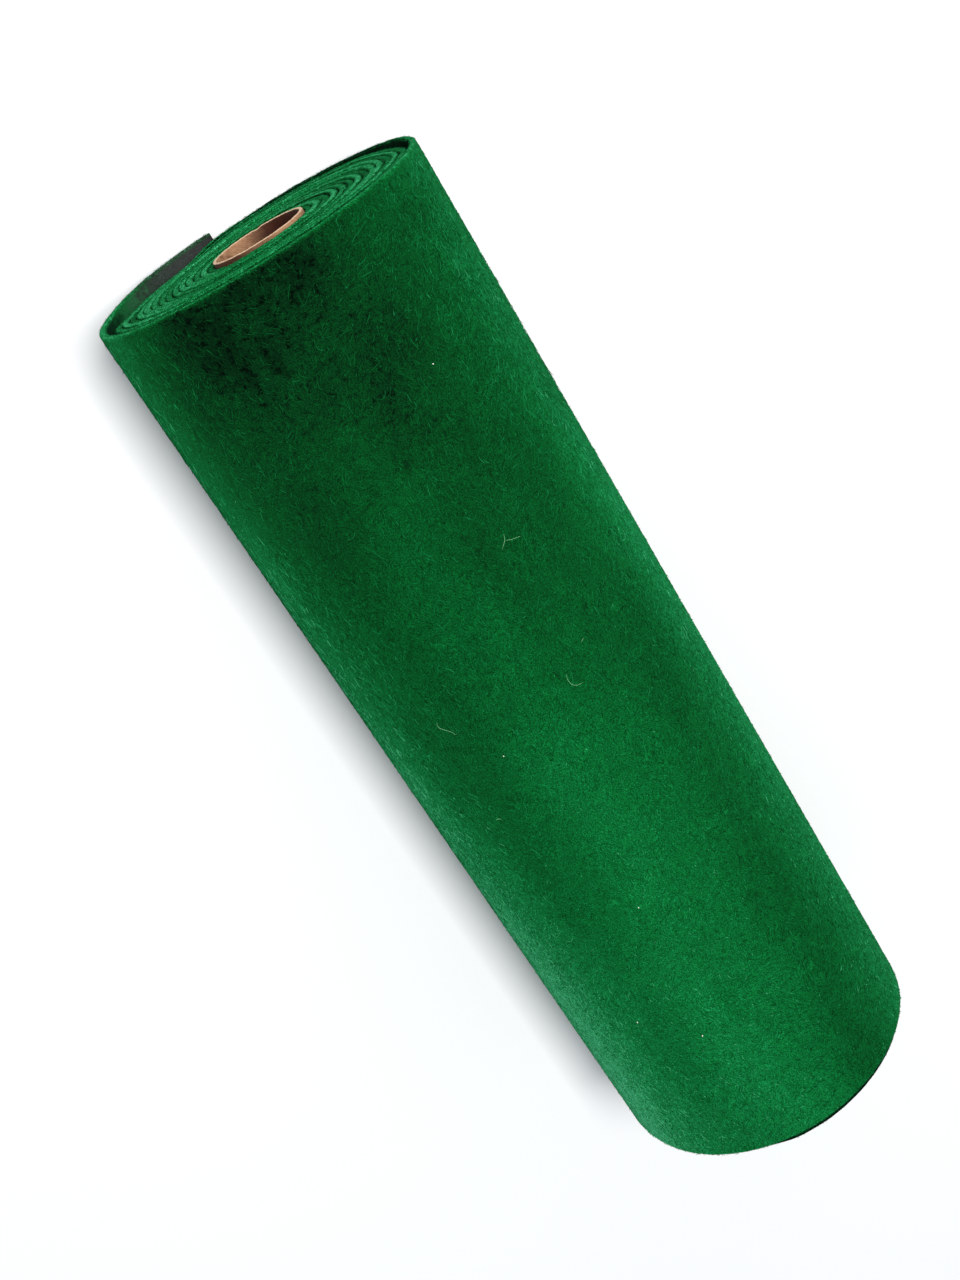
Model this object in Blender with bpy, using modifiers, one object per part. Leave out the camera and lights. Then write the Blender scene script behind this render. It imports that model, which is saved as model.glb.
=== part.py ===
# Roll of thick felt wound on a plain cardboard tube, lying on its side.
#
# Frame: X runs along the roll, Z is up, and the roll lies on z = 0. The origin is on that surface, under the
# middle of the roll's box. The loose end of the felt comes out under the -Y side, at the -X end it also stands
# a little proud of the other layers. The inner turns have slid a little towards +X: the -X face is slightly
# hollow round the tube, and the +X face stands out there as much.
#
# Sections are drawn in the Y-Z plane with polar angles that start at the bottom of the roll and turn towards -Y,
# the way the felt winds inwards: 0 is the bottom, 90 the -Y side, 180 the top, 270 the +Y side.

import math

import bmesh
import bpy
from mathutils import Matrix, Vector

# ---------------------------------------------------------------- sizes, in metres
FELT_WIDTH = 0.450          # width of the cloth, so the length of the wound body
ROLL_RADIUS = 0.0715        # outside of the roll
FELT_THICKNESS = 0.0030
CORE_BORE_RADIUS = 0.0190   # a 38 mm bore
CORE_WALL = 0.0015
CORE_NEAR_X = -0.2249       # the tube's two ends: about level with the outer turns at -X,
CORE_FAR_X = 0.2279         # and a little out of the inner turns at +X
INNER_SLIP = 0.0020         # how far the innermost turns have slid towards +X
SLIP_FROM_RADIUS = 0.064    # the slide begins at this radius and is whole at the next
SLIP_WHOLE_RADIUS = 0.026
CLEARANCE = 0.0003          # between the tube and the innermost turn

SEAT = 0.99                 # height of the roll's axis over the table, in roll radii
LOOSE_END_DEG = 12.0        # where the outer turn's cut end lies
LOOSE_END_PROUD = 0.0029    # how far it stands out of the -X face
LOOSE_FULL_DEG = 42.0       # up to here it stands out all of that, and from here it slants back to the face
TUCK_DEG = 358.0            # where it leaves the table at the bottom, to pass above its own loose end
SLIT_CLOSED_DEG = 112.0     # where the outer turn meets the turn under it again

SECTION_STEP_DEG = 4.0
CORE_STEPS = 72

AXIS_Z = SEAT * ROLL_RADIUS
CORE_RADIUS = CORE_BORE_RADIUS + CORE_WALL

# Slack between the outer turn and the turn under it, over the loose end: angle from the bottom, gap in metres
LOOSE_END_SLACK = (
    ("deg", "gap"),
    (12.0, 0.0005),
    (22.0, 0.0017),
    (38.0, 0.0023),
    (53.0, 0.0029),
    (66.0, 0.0035),
    (79.0, 0.0037),
    (90.0, 0.0032),
    (100.0, 0.0018),
    (112.0, 0.0),
)

# The crescent of air on the other side, inside the outer turn: angle, gap
CRESCENT = (
    ("deg", "gap"),
    (250.0, 0.0),
    (262.0, 0.0019),
    (276.0, 0.0031),
    (292.0, 0.0033),
    (308.0, 0.0026),
    (322.0, 0.0012),
    (334.0, 0.0),
)

# The innermost end of the felt stops short, and the turn over it leaves a wedge of air beside the tube
WEDGE = (
    ("deg", "gap"),
    (130.0, 0.0),
    (135.0, 0.0028),
    (146.0, 0.0022),
    (160.0, 0.0010),
    (175.0, 0.0),
)


# ---------------------------------------------------------------- helpers
def smooth(a, b, x):
    """0 at a, 1 at b, level at both."""
    t = min(max((x - a) / (b - a), 0.0), 1.0)
    return t * t * (3.0 - 2.0 * t)


def table(rows, x):
    """Eased value of a two-column table at x, 0 outside it."""
    rows = rows[1:]
    if x <= rows[0][0]:
        return rows[0][1] if x == rows[0][0] else 0.0
    if x >= rows[-1][0]:
        return rows[-1][1] if x == rows[-1][0] else 0.0
    for (x0, y0), (x1, y1) in zip(rows, rows[1:]):
        if x <= x1:
            return y0 + (y1 - y0) * smooth(x0, x1, x)
    return 0.0


def polar(deg, radius):
    """Section point (y, z) from the roll's axis, for an angle that starts at the bottom and turns to -Y."""
    a = math.radians(deg)
    return (-math.sin(a) * radius, -math.cos(a) * radius)


def seated(deg, radius):
    """The radius, cut back where it would reach below the table."""
    c = math.cos(math.radians(deg))
    return min(radius, AXIS_Z / c) if c > 0.2 else radius


def outer_radius(deg):
    """Outside of the outermost turn, from its cut end round to where it tucks under itself."""
    if deg <= 90.0:  # the loose end sags outwards and lies on the table
        sag = 0.025 * (1.0 - smooth(24.0, 80.0, deg))
        return seated(deg, ROLL_RADIUS * (1.0 + sag))
    swell = 0.012 * smooth(300.0, 345.0, deg)
    return seated(deg, ROLL_RADIUS * (1.0 + swell))


def angles(start, end, step=SECTION_STEP_DEG):
    n = max(2, round(abs(end - start) / step))
    return [start + (end - start) * i / n for i in range(n + 1)]


def second_turn_radius(deg):
    """Outside of the turn under the loose end."""
    return ROLL_RADIUS - FELT_THICKNESS - table(LOOSE_END_SLACK, deg)


def without_straights(pts):
    """A closed outline without the points that lie on a straight run, such as those along the flats."""
    kept = []
    for i, p in enumerate(pts):
        a, b = pts[i - 1], pts[(i + 1) % len(pts)]
        bend = (p[0] - a[0]) * (b[1] - p[1]) - (p[1] - a[1]) * (b[0] - p[0])
        if abs(bend) > 1e-10:
            kept.append(p)
    return kept


def felt_outline():
    """Outer boundary with the slit under the loose end."""
    pts = []
    # outside of the outer turn, from the cut end round to the bottom
    for d in angles(LOOSE_END_DEG, TUCK_DEG):
        pts.append(polar(d, outer_radius(d)))
    # it tucks in above its own loose end
    inner_start = second_turn_radius(LOOSE_END_DEG)
    for d in angles(TUCK_DEG, 360.0 + LOOSE_END_DEG, 2.0)[1:]:
        t = smooth(TUCK_DEG, 360.0 + LOOSE_END_DEG, d)
        r0 = seated(d, ROLL_RADIUS * 1.012)
        pts.append(polar(d, r0 + (inner_start - r0) * t))
    # the turn under the loose end, up to where the slit closes
    for d in angles(LOOSE_END_DEG, SLIT_CLOSED_DEG)[1:]:
        pts.append(polar(d, second_turn_radius(d)))
    # back down the inside of the loose end
    for d in angles(SLIT_CLOSED_DEG, LOOSE_END_DEG)[1:]:
        r = outer_radius(d) - FELT_THICKNESS
        pts.append(polar(d, r))
    return without_straights(pts)


def crescent_outline():
    lo, hi = CRESCENT[1][0], CRESCENT[-1][0]
    out = [polar(d, outer_radius(d) - FELT_THICKNESS) for d in angles(lo, hi)]
    back = [
        polar(d, outer_radius(d) - FELT_THICKNESS - table(CRESCENT, d))
        for d in angles(hi, lo)[1:-1]
    ]
    return out + back


def bore_outline():
    r = (CORE_RADIUS + CLEARANCE) / math.cos(math.pi / CORE_STEPS)
    return [polar(d, r + table(WEDGE, d)) for d in angles(0.0, 360.0, 360.0 / CORE_STEPS)[:-1]]


def outline_curve(name, outlines, half_depth, location, collection):
    """A filled flat outline, holes included, drawn in Y-Z and extruded along X."""
    curve = bpy.data.curves.new(name, "CURVE")
    curve.dimensions = "2D"
    curve.fill_mode = "BOTH"
    curve.extrude = half_depth
    for pts in outlines:
        s = curve.splines.new("POLY")
        s.points.add(len(pts) - 1)
        for p, (y, z) in zip(s.points, pts):
            p.co = (y, z, 0.0, 1.0)
        s.use_cyclic_u = True
    ob = bpy.data.objects.new(name, curve)
    ob.rotation_euler = (math.pi / 2.0, 0.0, math.pi / 2.0)
    ob.location = location
    collection.objects.link(ob)
    return ob


def as_mesh(ob, collection):
    """The curve's evaluated shape as a mesh object with welded caps, in place of the curve."""
    bpy.context.view_layer.update()
    deps = bpy.context.evaluated_depsgraph_get()
    mesh = bpy.data.meshes.new_from_object(ob.evaluated_get(deps))
    bm = bmesh.new()
    bm.from_mesh(mesh)
    bmesh.ops.remove_doubles(bm, verts=bm.verts, dist=0.00001)
    bmesh.ops.recalc_face_normals(bm, faces=bm.faces)
    bm.to_mesh(mesh)
    bm.free()
    name = ob.name
    new = bpy.data.objects.new(name + "_mesh", mesh)
    new.matrix_world = ob.matrix_world
    collection.objects.link(new)
    bpy.data.objects.remove(ob, do_unlink=True)
    new.name = name
    mesh.name = name
    return new


def make_cutter(ob):
    ob.hide_render = True
    ob.display_type = "WIRE"
    return ob


def cut(target, cutter):
    m = target.modifiers.new("cut_" + cutter.name, "BOOLEAN")
    m.operation = "DIFFERENCE"
    m.solver = "EXACT"
    m.object = cutter


def turned_cutter(name, profile, collection):
    """A ring turned about the roll's axis from a closed (x, radius) profile, as a mesh."""
    bm = bmesh.new()
    ring = [bm.verts.new((x, y, 0.0)) for x, y in profile]
    for a, b in zip(ring, ring[1:] + ring[:1]):
        bm.edges.new((a, b))
    # turned in even steps that don't meet the corners of the other outlines
    turn = Matrix.Rotation(math.radians(1.3), 3, "X")
    for v in bm.verts:
        v.co = turn @ v.co
    bmesh.ops.spin(
        bm, geom=list(bm.verts) + list(bm.edges), cent=(0.0, 0.0, 0.0), axis=(1.0, 0.0, 0.0),
        dvec=(0.0, 0.0, 0.0), angle=math.tau, steps=CORE_STEPS, use_merge=True,
    )
    bmesh.ops.remove_doubles(bm, verts=bm.verts, dist=0.00001)
    bmesh.ops.recalc_face_normals(bm, faces=bm.faces)
    mesh = bpy.data.meshes.new(name)
    bm.to_mesh(mesh)
    bm.free()
    ob = bpy.data.objects.new(name, mesh)
    ob.location = (0.0, 0.0, AXIS_Z)
    collection.objects.link(ob)
    return make_cutter(ob)


def material(name, color, roughness):
    mat = bpy.data.materials.new(name)
    mat.use_nodes = True
    bsdf = mat.node_tree.nodes["Principled BSDF"]
    bsdf.inputs["Base Color"].default_value = (*color, 1.0)
    bsdf.inputs["Roughness"].default_value = roughness
    bsdf.inputs["Metallic"].default_value = 0.0
    mat.diffuse_color = (*color, 1.0)
    return mat


# ---------------------------------------------------------------- scene set-up
for ob in list(bpy.data.objects):
    bpy.data.objects.remove(ob, do_unlink=True)

parts = bpy.data.collections.new("roll_of_felt")
cutters = bpy.data.collections.new("cutters")
bpy.context.scene.collection.children.link(parts)
bpy.context.scene.collection.children.link(cutters)

root = bpy.data.objects.new("roll_of_felt_root", None)
parts.objects.link(root)

felt_material = material("felt", (0.004, 0.13, 0.035), 0.95)
card_material = material("cardboard", (0.42, 0.24, 0.12), 0.85)

# ---------------------------------------------------------------- felt_roll
# The body runs on to the loose end's corner, and what stands past the -X face there is cut away but for that end.
half = (FELT_WIDTH + LOOSE_END_PROUD + INNER_SLIP) / 2.0
felt = outline_curve(
    "felt_roll",
    [felt_outline(), crescent_outline(), bore_outline()],
    half,
    ((INNER_SLIP - LOOSE_END_PROUD) / 2.0, 0.0, AXIS_Z),
    parts,
)
felt = as_mesh(felt, parts)
felt.data.materials.clear()
felt.data.materials.append(felt_material)

# Everything but the loose end: the outline's inner side runs down the middle of the slit
LOOSE_TOP_DEG = 78.4
face_outline = []
for d in angles(LOOSE_END_DEG - 2.0, LOOSE_TOP_DEG):
    wall = outer_radius(max(d, LOOSE_END_DEG)) - FELT_THICKNESS
    turn = second_turn_radius(max(d, LOOSE_END_DEG))
    face_outline.append(polar(d, (wall + turn) / 2.0))
for d in angles(LOOSE_TOP_DEG, 360.0 + LOOSE_END_DEG - 3.0, 12.0):
    face_outline.append(polar(d, ROLL_RADIUS * 1.3))
face_cutter = outline_curve(
    "face_cutter",
    [face_outline],
    LOOSE_END_PROUD,
    (-FELT_WIDTH / 2.0 - LOOSE_END_PROUD, 0.0, AXIS_Z),
    cutters,
)
face_cutter = make_cutter(as_mesh(face_cutter, cutters))
cut(felt, face_cutter)

# The loose end's edge runs out at a slant, from level with the face to where it stands out fully
y_flush = -ROLL_RADIUS * 1.02
y_full = polar(LOOSE_FULL_DEG, ROLL_RADIUS)[0]
slant = math.atan2(LOOSE_END_PROUD, y_full - y_flush)
bpy.ops.mesh.primitive_cube_add(size=1.0)
slant_cutter = bpy.context.active_object
slant_cutter.name = "slant_cutter"
for c in list(slant_cutter.users_collection):
    c.objects.unlink(slant_cutter)
cutters.objects.link(slant_cutter)
SLANT_BOX = Vector((0.02, 0.30, 0.30))
for v in slant_cutter.data.vertices:
    v.co = Vector((v.co.x * SLANT_BOX.x, v.co.y * SLANT_BOX.y, v.co.z * SLANT_BOX.z))
slant_cutter.rotation_euler = (0.0, 0.0, slant)
flush_point = Vector((-FELT_WIDTH / 2.0 - 0.00005, y_flush, AXIS_Z))
outward = Vector((-math.cos(slant), -math.sin(slant), 0.0))
slant_cutter.location = flush_point + outward * (SLANT_BOX.x / 2.0)
make_cutter(slant_cutter)
cut(felt, slant_cutter)

# The -X face is a shallow cone round the tube. The +X face is the same cone, standing out
face_x = FELT_WIDTH / 2.0
FAR_OUT = 0.006
near_hollow = turned_cutter("near_hollow", (
    (-face_x - FAR_OUT, 0.004),
    (-face_x + INNER_SLIP, 0.004),
    (-face_x + INNER_SLIP, SLIP_WHOLE_RADIUS),
    (-face_x, SLIP_FROM_RADIUS),
    (-face_x - FAR_OUT, SLIP_FROM_RADIUS),
), cutters)
cut(felt, near_hollow)
far_ring = turned_cutter("far_ring", (
    (face_x + INNER_SLIP, SLIP_WHOLE_RADIUS),
    (face_x + FAR_OUT, SLIP_WHOLE_RADIUS),
    (face_x + FAR_OUT, ROLL_RADIUS * 1.3),
    (face_x, ROLL_RADIUS * 1.3),
    (face_x, SLIP_FROM_RADIUS),
), cutters)
cut(felt, far_ring)

felt.data.shade_smooth()
felt.data.set_sharp_from_angle(angle=math.radians(30.0))
felt.parent = root

# ---------------------------------------------------------------- core_tube
EASE = 0.0003  # rubbed edge of the card
half_tube = (CORE_FAR_X - CORE_NEAR_X) / 2.0
# closed profile in the X-Y plane, turned about X
profile = [
    (-half_tube, CORE_BORE_RADIUS + EASE),
    (-half_tube, CORE_RADIUS - EASE),
    (-half_tube + EASE, CORE_RADIUS),
    (half_tube - EASE, CORE_RADIUS),
    (half_tube, CORE_RADIUS - EASE),
    (half_tube, CORE_BORE_RADIUS + EASE),
    (half_tube - EASE, CORE_BORE_RADIUS),
    (-half_tube + EASE, CORE_BORE_RADIUS),
]
bm = bmesh.new()
ring = [bm.verts.new((x, y, 0.0)) for x, y in profile]
for a, b in zip(ring, ring[1:] + ring[:1]):
    bm.edges.new((a, b))
core_mesh = bpy.data.meshes.new("core_tube")
bm.to_mesh(core_mesh)
bm.free()
core = bpy.data.objects.new("core_tube", core_mesh)
parts.objects.link(core)
core.location = ((CORE_FAR_X + CORE_NEAR_X) / 2.0, 0.0, AXIS_Z)
screw = core.modifiers.new("turn", "SCREW")
screw.axis = "X"
screw.angle = math.tau
screw.steps = CORE_STEPS
screw.render_steps = CORE_STEPS
screw.use_merge_vertices = True
screw.merge_threshold = 0.0001
screw.use_normal_calculate = True
core_mesh.materials.append(card_material)
core.parent = root

bpy.context.view_layer.update()
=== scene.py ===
# The look of the roll of felt: one strip of thick green felt wound on a plain cardboard tube, lying on its side.
#
# The frame is the model's: X along the roll, Z up, the table at z = 0. Sections are drawn in the Y-Z plane with
# polar angles from the roll's axis: 0 is the bottom, 90 the -Y side, 180 the top, 270 the +Y side. The felt winds
# inwards as the angle grows, from its loose end at 12 degrees.

import math

import bpy
import numpy as np
from mathutils import Matrix, Vector


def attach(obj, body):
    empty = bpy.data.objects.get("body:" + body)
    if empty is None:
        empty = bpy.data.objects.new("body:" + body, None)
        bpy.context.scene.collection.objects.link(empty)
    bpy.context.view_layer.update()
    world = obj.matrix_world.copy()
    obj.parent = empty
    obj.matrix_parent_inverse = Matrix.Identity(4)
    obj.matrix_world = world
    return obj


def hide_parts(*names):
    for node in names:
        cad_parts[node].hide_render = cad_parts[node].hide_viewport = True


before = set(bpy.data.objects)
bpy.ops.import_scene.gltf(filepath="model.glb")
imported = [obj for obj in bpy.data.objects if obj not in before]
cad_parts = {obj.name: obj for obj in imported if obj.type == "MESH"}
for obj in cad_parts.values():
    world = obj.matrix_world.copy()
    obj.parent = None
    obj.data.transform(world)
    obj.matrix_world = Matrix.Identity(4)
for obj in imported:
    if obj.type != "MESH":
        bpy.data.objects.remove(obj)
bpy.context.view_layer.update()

# ---------------------------------------------------------------- sizes, in metres (as in the model)
WIDTH = 0.450
R = 0.0715
T = 0.0030
BORE_R = 0.0190
CORE_R = 0.0205
CORE_NEAR_X = -0.2249          # the tube's two ends
CORE_FAR_X = 0.2279
INNER_SLIP = 0.0020            # the innermost turns have slid this far towards +X
AXIS_Z = 0.99 * R
INNER_R = CORE_R + 0.0003      # where the innermost turn lies
START = 12.0                   # the loose end
TUCK = 358.0
LAST = 131.0 + 360.0 * 14      # the innermost end: 14.3 turns in all
HALF = WIDTH / 2.0


# ---------------------------------------------------------------- small helpers
def smooth(a, b, x):
    t = np.clip((np.asarray(x, float) - a) / (b - a), 0.0, 1.0)
    return t * t * (3.0 - 2.0 * t)


def eased(rows, x):
    """Smoothly joined table of (x, value) rows; the end values go on past the ends."""
    xs = np.array([r[0] for r in rows], float)
    ys = np.array([r[1] for r in rows], float)
    x = np.clip(np.asarray(x, float), xs[0], xs[-1])
    i = np.clip(np.searchsorted(xs, x, side="right") - 1, 0, len(xs) - 2)
    t = (x - xs[i]) / (xs[i + 1] - xs[i])
    # monotone cubic, so that a table is followed without bumps
    d = np.diff(ys) / np.diff(xs)
    m = np.zeros(len(xs))
    for k in range(1, len(xs) - 1):
        if d[k - 1] * d[k] > 0:
            m[k] = 2 * d[k - 1] * d[k] / (d[k - 1] + d[k])
    h = xs[i + 1] - xs[i]
    return (
        ys[i] * (2 * t**3 - 3 * t**2 + 1)
        + ys[i + 1] * (3 * t**2 - 2 * t**3)
        + h * m[i] * (t**3 - 2 * t**2 + t)
        + h * m[i + 1] * (t**3 - t**2)
    )


def wander(seed, x, cell):
    """Soft 1-D noise from -1 to 1, one random value every cell."""
    table = np.random.RandomState(seed).uniform(-1, 1, 4096)
    q = np.asarray(x, float) / cell + 7.0
    i = np.floor(q).astype(int)
    f = q - i
    f = f * f * (3 - 2 * f)
    return table[i % 4096] * (1 - f) + table[(i + 1) % 4096] * f


def cloud(seed, u, v, cell_u, cell_v):
    """Soft 2-D noise from -1 to 1."""
    table = np.random.RandomState(seed).uniform(-1, 1, (256, 256))
    qu, qv = np.asarray(u, float) / cell_u + 31.0, np.asarray(v, float) / cell_v + 57.0
    iu, iv = np.floor(qu).astype(int), np.floor(qv).astype(int)
    fu, fv = qu - iu, qv - iv
    fu, fv = fu * fu * (3 - 2 * fu), fv * fv * (3 - 2 * fv)
    a = table[iu % 256, iv % 256] * (1 - fu) + table[(iu + 1) % 256, iv % 256] * fu
    b = table[iu % 256, (iv + 1) % 256] * (1 - fu) + table[(iu + 1) % 256, (iv + 1) % 256] * fu
    return a * (1 - fv) + b * fv


def new_object(name, co, faces, smooth_faces=True):
    mesh = bpy.data.meshes.new(name)
    mesh.from_pydata(np.asarray(co, float).tolist(), [], faces)
    mesh.update()
    mesh.polygons.foreach_set("use_smooth", np.full(len(mesh.polygons), smooth_faces))
    ob = bpy.data.objects.new(name, mesh)
    bpy.context.scene.collection.objects.link(ob)
    return ob


def float_attribute(mesh, name, values):
    a = mesh.attributes.new(name, "FLOAT", "POINT")
    a.data.foreach_set("value", np.asarray(values, np.float32))


# ---------------------------------------------------------------- camera
# The axes of the camera in the model's frame, fitted to the photograph's outline of the roll
def make_camera():
    data = bpy.data.cameras.new("camera")
    data.sensor_fit = "VERTICAL"
    data.sensor_height = 36.0
    data.sensor_width = 27.0
    data.lens = 48.12
    data.clip_start = 0.01
    data.clip_end = 20.0
    ob = bpy.data.objects.new("camera", data)
    right = Vector((0.49812, 0.84292, 0.20338)).normalized()
    back = Vector((-0.37800, 0.0, 0.92580)).normalized()
    right = (right - back * right.dot(back)).normalized()
    up = back.cross(right)
    place = Vector((-HALF - 1.193 * R, -0.1625 * R, AXIS_Z + 9.558 * R))
    rot = Matrix((right, up, back)).transposed().to_4x4()
    ob.matrix_world = Matrix.Translation(place) @ rot
    bpy.context.scene.collection.objects.link(ob)
    bpy.context.scene.camera = ob
    return place, right, up, back, 48.12 / 36.0


CAM = make_camera()


def through_pixel(px, py):
    """The camera's place and the direction through a point of the 960 x 1280 picture."""
    place, right, up, back, k = CAM
    u = (px - 480.0) / 1280.0
    v = (640.0 - py) / 1280.0
    return place, (right * u + up * v - back * k).normalized()


def on_roll(px, py, radius=R):
    """(angle in degrees, x) where that line of sight meets the roll."""
    p, d = through_pixel(px, py)
    a = d.y * d.y + d.z * d.z
    b = 2 * (p.y * d.y + (p.z - AXIS_Z) * d.z)
    c = p.y**2 + (p.z - AXIS_Z) ** 2 - radius**2
    t = (-b - math.sqrt(max(b * b - 4 * a * c, 0.0))) / (2 * a)
    q = p + d * t
    return math.degrees(math.atan2(-q.y, -(q.z - AXIS_Z))) % 360.0, q.x


# ---------------------------------------------------------------- the spiral
SECOND_TURN = [  # outside of the second turn, mm, against the angle in its own turn
    (12, 68.0), (22, 66.8), (38, 66.2), (53, 65.6), (66, 65.0), (79, 64.8), (90, 65.3), (100, 66.8), (112, 68.35),
    (140, 68.42), (180, 68.42), (230, 68.35), (250, 68.1), (262, 66.5), (276, 65.3), (292, 65.15), (308, 65.9),
    (322, 67.0), (334, 67.5), (345, 67.2), (358, 66.1), (372, 64.71),
]


def seated(deg, radius):
    c = np.cos(np.radians(deg))
    return np.where(c > 0.2, np.minimum(radius, AXIS_Z / np.maximum(c, 0.2)), radius)


def first_turn(deg):
    sag = 0.025 * (1.0 - smooth(24.0, 80.0, deg))
    swell = 0.012 * smooth(300.0, 345.0, deg)
    swell = swell + 0.016 * np.exp(-(((deg - 90.0) / 19.0) ** 2))
    r = seated(deg, R * (1.0 + np.where(deg <= 90.0, sag, 0.0) + swell))
    t = smooth(TUCK, 372.0, deg)
    return r + (0.0680 - r) * t


def turn_count(theta):
    """How many turns lie between the tube and the outside of the felt at theta, that one included."""
    tau = (LAST - np.asarray(theta, float)) / 360.0
    m = np.floor(tau)
    f = tau - m
    b = np.clip(m / 4.0, 0.0, 1.0)
    w = 0.12 + 0.06 * m
    climb = smooth(0.0, 1.0, (f - (1.0 - np.minimum(w, 0.6))) / np.minimum(w, 0.6))
    return 1.0 + m + (1.0 - b) * climb + b * f


GRID = np.arange(START, LAST + 0.25, 0.5)


def make_radii():
    r = np.zeros(len(GRID))
    first = GRID <= 372.0
    r[first] = first_turn(GRID[first])
    inner = ~first
    d = (GRID[inner] - START) % 360.0 + START
    pitch = (eased(SECOND_TURN, d) / 1000.0 - INNER_R) / turn_count(d + 360.0)
    r[inner] = INNER_R + pitch * turn_count(GRID[inner])
    # no two turns lie alike: each wanders a little in the slack that it has
    slack = np.clip(pitch - T, 0.00004, 0.0006)
    fade = smooth(0, 25, GRID[inner] - 372.0) * smooth(0, 40, LAST - GRID[inner])
    away = 0.55 * wander(11, GRID[inner], 47.0) + 0.45 * wander(12, GRID[inner], 21.0)
    r[inner] += away * fade * (slack * 0.62 + 0.00006)
    return r


RADII = make_radii()


def radius_at(theta):
    return np.interp(theta, GRID, RADII)


def section(theta, r):
    a = np.radians(theta)
    return -np.sin(a) * r, AXIS_Z - np.cos(a) * r


def slid(theta):
    """How far a turn has slid towards +X: not at all outside, wholly at the tube."""
    k = np.clip((np.asarray(theta, float) - 372.0) / 360.0, 0.0, 11.0) / 11.0
    return INNER_SLIP * k**0.8


def even_of(theta):
    """No turn lies quite level with the next."""
    theta = np.asarray(theta, float)
    even = 0.00040 * wander(21, theta, 310.0) + 0.00020 * wander(22, theta, 110.0) + 0.00008 * wander(23, theta, 33.0)
    return even * smooth(60, 200, theta) * (0.30 + 0.70 * smooth(340, 420, theta))


def near_edge(theta):
    """Where the felt's -X edge lies along the strip: the loose end stands proud, the turns under it lie back."""
    theta = np.asarray(theta, float)
    loose = np.interp(
        theta,
        [12, 25, 42, 52, 63, 76, 90, 106],
        [0.0029, 0.0028, 0.0028, 0.0024, 0.0018, 0.0013, 0.0007, 0.0],
    )
    low_side = 0.0003 * smooth(262, 290, theta) * (1 - smooth(342, 362, theta))
    even = even_of(theta)
    slip = 0.62 * slid(theta)
    d = theta % 360.0
    k = (theta - 12.0) / 360.0
    under_loose = np.interp(d, [0, 8, 14, 20, 31, 60, 70, 85, 98], [0, 0.12, 0.30, 0.65, 1.0, 1.0, 0.93, 0.60, 0.0])
    under_loose = under_loose * np.clip(0.0028 - slip, 0, 1) * (1 - smooth(1.0, 9.0, k)) * smooth(366, 388, theta)
    beside = np.interp(d, [250, 264, 284, 304, 338, 352], [0.0, 1.0, 1.0, 0.30, 0.10, 0.0])
    beside = beside * np.clip(0.0011 - slip, 0, 1) * (1 - smooth(1.6, 6.0, k)) * smooth(500, 600, theta)
    return -HALF - loose - low_side + even + slip + under_loose + beside


def far_edge(theta):
    theta = np.asarray(theta, float)
    even = 0.00028 * wander(31, theta, 95.0) + 0.00018 * wander(32, theta, 35.0)
    first = 0.0010 * smooth(90, 130, theta) * (1 - smooth(280, 340, theta))
    second = 0.0052 * smooth(492, 535, theta) * (1 - smooth(625, 690, theta))
    third = 0.0036 * smooth(872, 915, theta) * (1 - smooth(985, 1050, theta))
    return HALF + slid(theta) + even * smooth(20, 90, theta) + first + second + third


def stations():
    out = list(np.arange(START, 372.0, 1.2))
    th = out[-1]
    while True:
        r = radius_at(th)
        th += math.degrees(0.0030 / r) if th < 900 else math.degrees(0.0029 / r)
        if th > LAST - 0.8:
            break
        out.append(th)
    out.append(LAST)
    return np.array(out)


STATIONS = stations()
MIDDLE = radius_at(STATIONS) - T / 2
LENGTHS = np.concatenate([[0.0], np.cumsum(np.radians(np.diff(STATIONS)) * (MIDDLE[1:] + MIDDLE[:-1]) / 2)])
FELT_LENGTH = float(LENGTHS[-1])


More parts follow.
